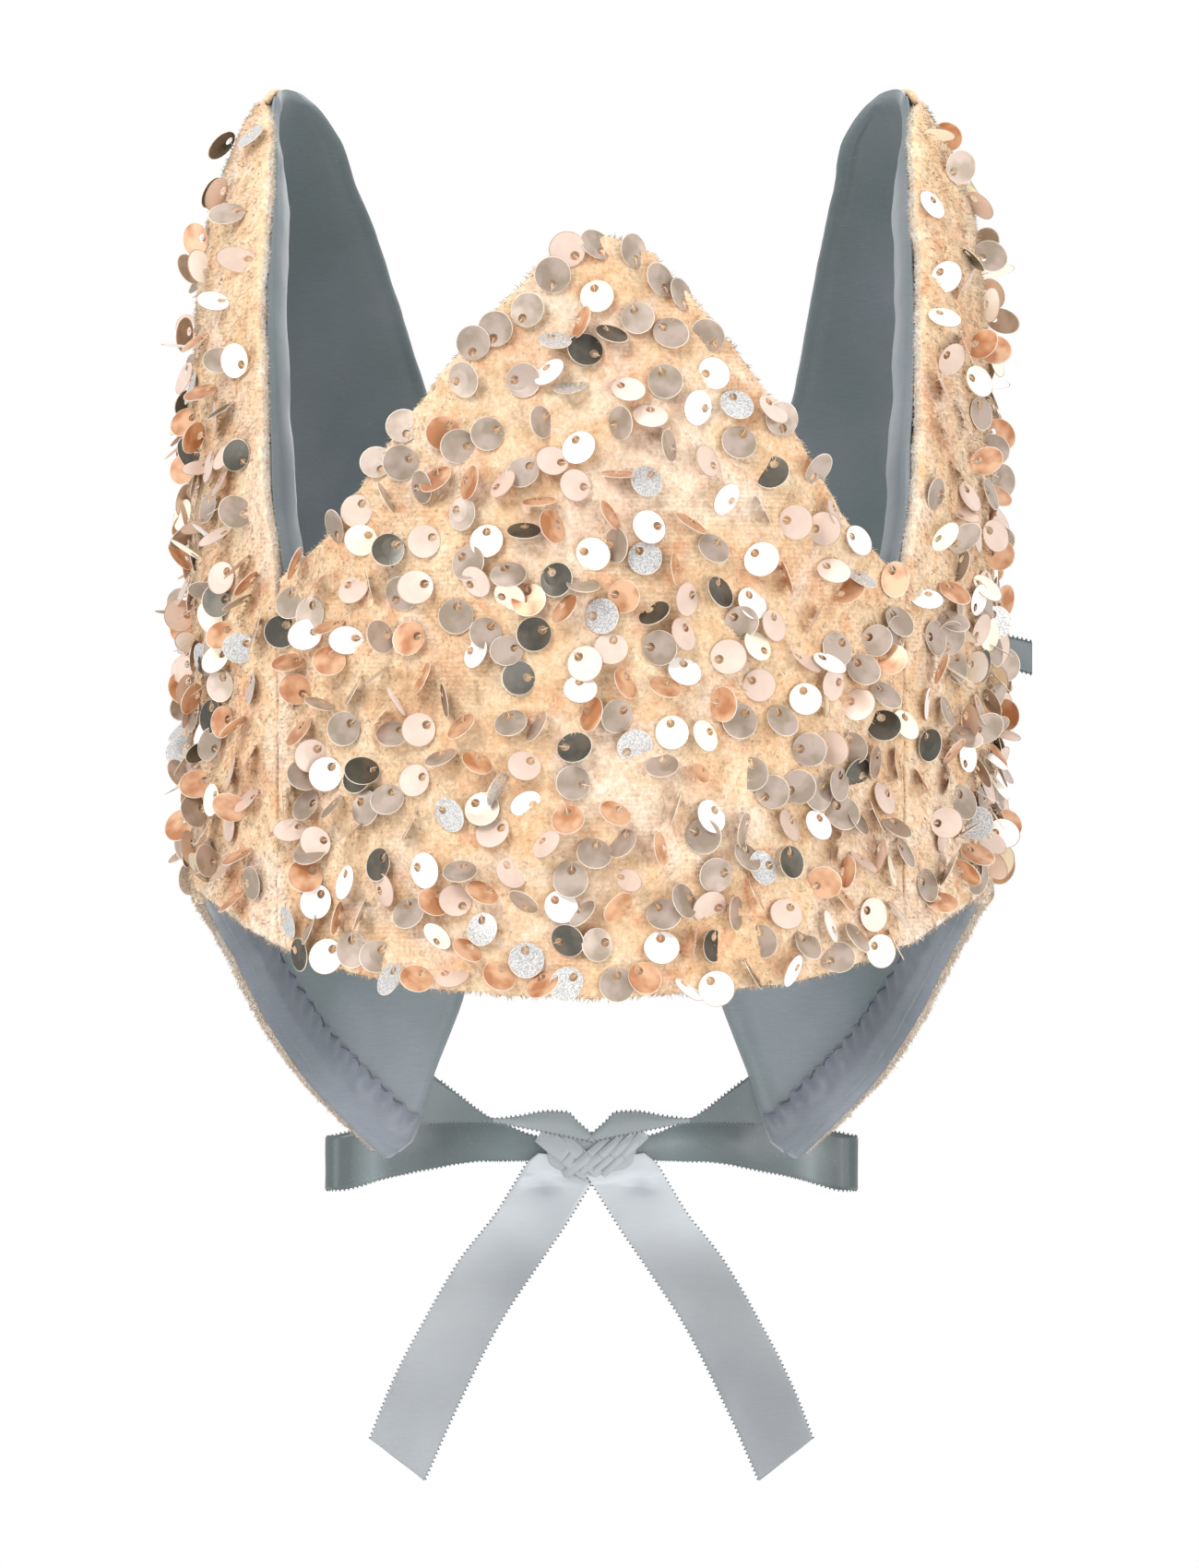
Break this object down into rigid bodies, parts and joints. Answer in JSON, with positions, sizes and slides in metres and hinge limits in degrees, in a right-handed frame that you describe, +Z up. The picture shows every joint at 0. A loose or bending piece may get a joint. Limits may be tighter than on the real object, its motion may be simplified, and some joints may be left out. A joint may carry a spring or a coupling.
{
  "type": "animal ears headband",
  "caption": "Sequinned velvet crown band with a centre peak and two tall wired ears, lined in satin and tied at the nape with a ribbon bow.",
  "frame": {"origin": "the middle of the head opening, level with the hem above the wearer's ears", "axes": "+Z up to the ear tips, -Y to the front, +X to the wearer's left"},
  "size_m": [0.1823, 0.2195, 0.3098],
  "materials": {
    "velvet": "crushed champagne velvet with sewn sequins",
    "satin": "blue-grey satin",
    "interlining": "stiff white felt",
    "ribbon": "silver-grey satin ribbon",
    "wire": "bare wire"
  },
  "bodies": {
    "band": {"front_velvet": "velvet", "front_interlining": "interlining", "front_lining": "satin", "front_hem_facing": "satin"},
    "left_side": {"left_side_velvet": "velvet", "left_side_interlining": "interlining", "left_side_lining": "satin", "left_hem_facing": "satin", "left_ribbon_strap": "ribbon", "ribbon_knot": "ribbon", "side_tab": "ribbon"},
    "right_side": {"right_side_velvet": "velvet", "right_side_interlining": "interlining", "right_side_lining": "satin", "right_hem_facing": "satin", "right_ribbon_strap": "ribbon"},
    "left_ear": {"left_ear_velvet": "velvet", "left_ear_interlining": "interlining", "left_ear_lining": "satin", "left_ear_wire": "wire"},
    "right_ear": {"right_ear_velvet": "velvet", "right_ear_interlining": "interlining", "right_ear_lining": "satin", "right_ear_wire": "wire"},
    "left_loop": {"left_bow_loop": "ribbon"},
    "right_loop": {"right_bow_loop": "ribbon"},
    "left_tail": {"left_ribbon_tail": "ribbon"},
    "right_tail": {"right_ribbon_tail": "ribbon"}
  },
  "joints": [
    {"name": "left_side_opening", "type": "hinge", "parent": "band", "child": "left_side", "pos_m": [0.0659, -0.063, 0], "axis": [0, 0, -1], "range_deg": [0, 18], "stiffness_Nm_per_rad": 0.05},
    {"name": "right_side_opening", "type": "hinge", "parent": "band", "child": "right_side", "pos_m": [-0.0659, -0.063, 0], "axis": [0, 0, 1], "range_deg": [0, 18], "stiffness_Nm_per_rad": 0.05},
    {"name": "left_ear_bend", "type": "hinge", "parent": "left_side", "child": "left_ear", "pos_m": [0.086, 0, 0.096], "axis": [0, 1, 0], "range_deg": [0, 20]},
    {"name": "right_ear_bend", "type": "hinge", "parent": "right_side", "child": "right_ear", "pos_m": [-0.086, 0, 0.096], "axis": [0, -1, 0], "range_deg": [0, 20]},
    {"name": "left_loop_fold", "type": "hinge", "parent": "left_side", "child": "left_loop", "pos_m": [0.0115, 0.1024, -0.06], "axis": [0, 0, 1], "range_deg": [0, 40], "stiffness_Nm_per_rad": 0.002},
    {"name": "right_loop_fold", "type": "hinge", "parent": "left_side", "child": "right_loop", "pos_m": [-0.0115, 0.1024, -0.06], "axis": [0, 0, -1], "range_deg": [0, 40], "stiffness_Nm_per_rad": 0.002},
    {"name": "left_tail_swing", "type": "hinge", "parent": "left_side", "child": "left_tail", "pos_m": [0.008, 0.1, -0.0665], "axis": [1, 0, 0], "range_deg": [-50, 60]},
    {"name": "right_tail_swing", "type": "hinge", "parent": "left_side", "child": "right_tail", "pos_m": [-0.008, 0.1, -0.0665], "axis": [1, 0, 0], "range_deg": [-50, 60]}
  ]
}
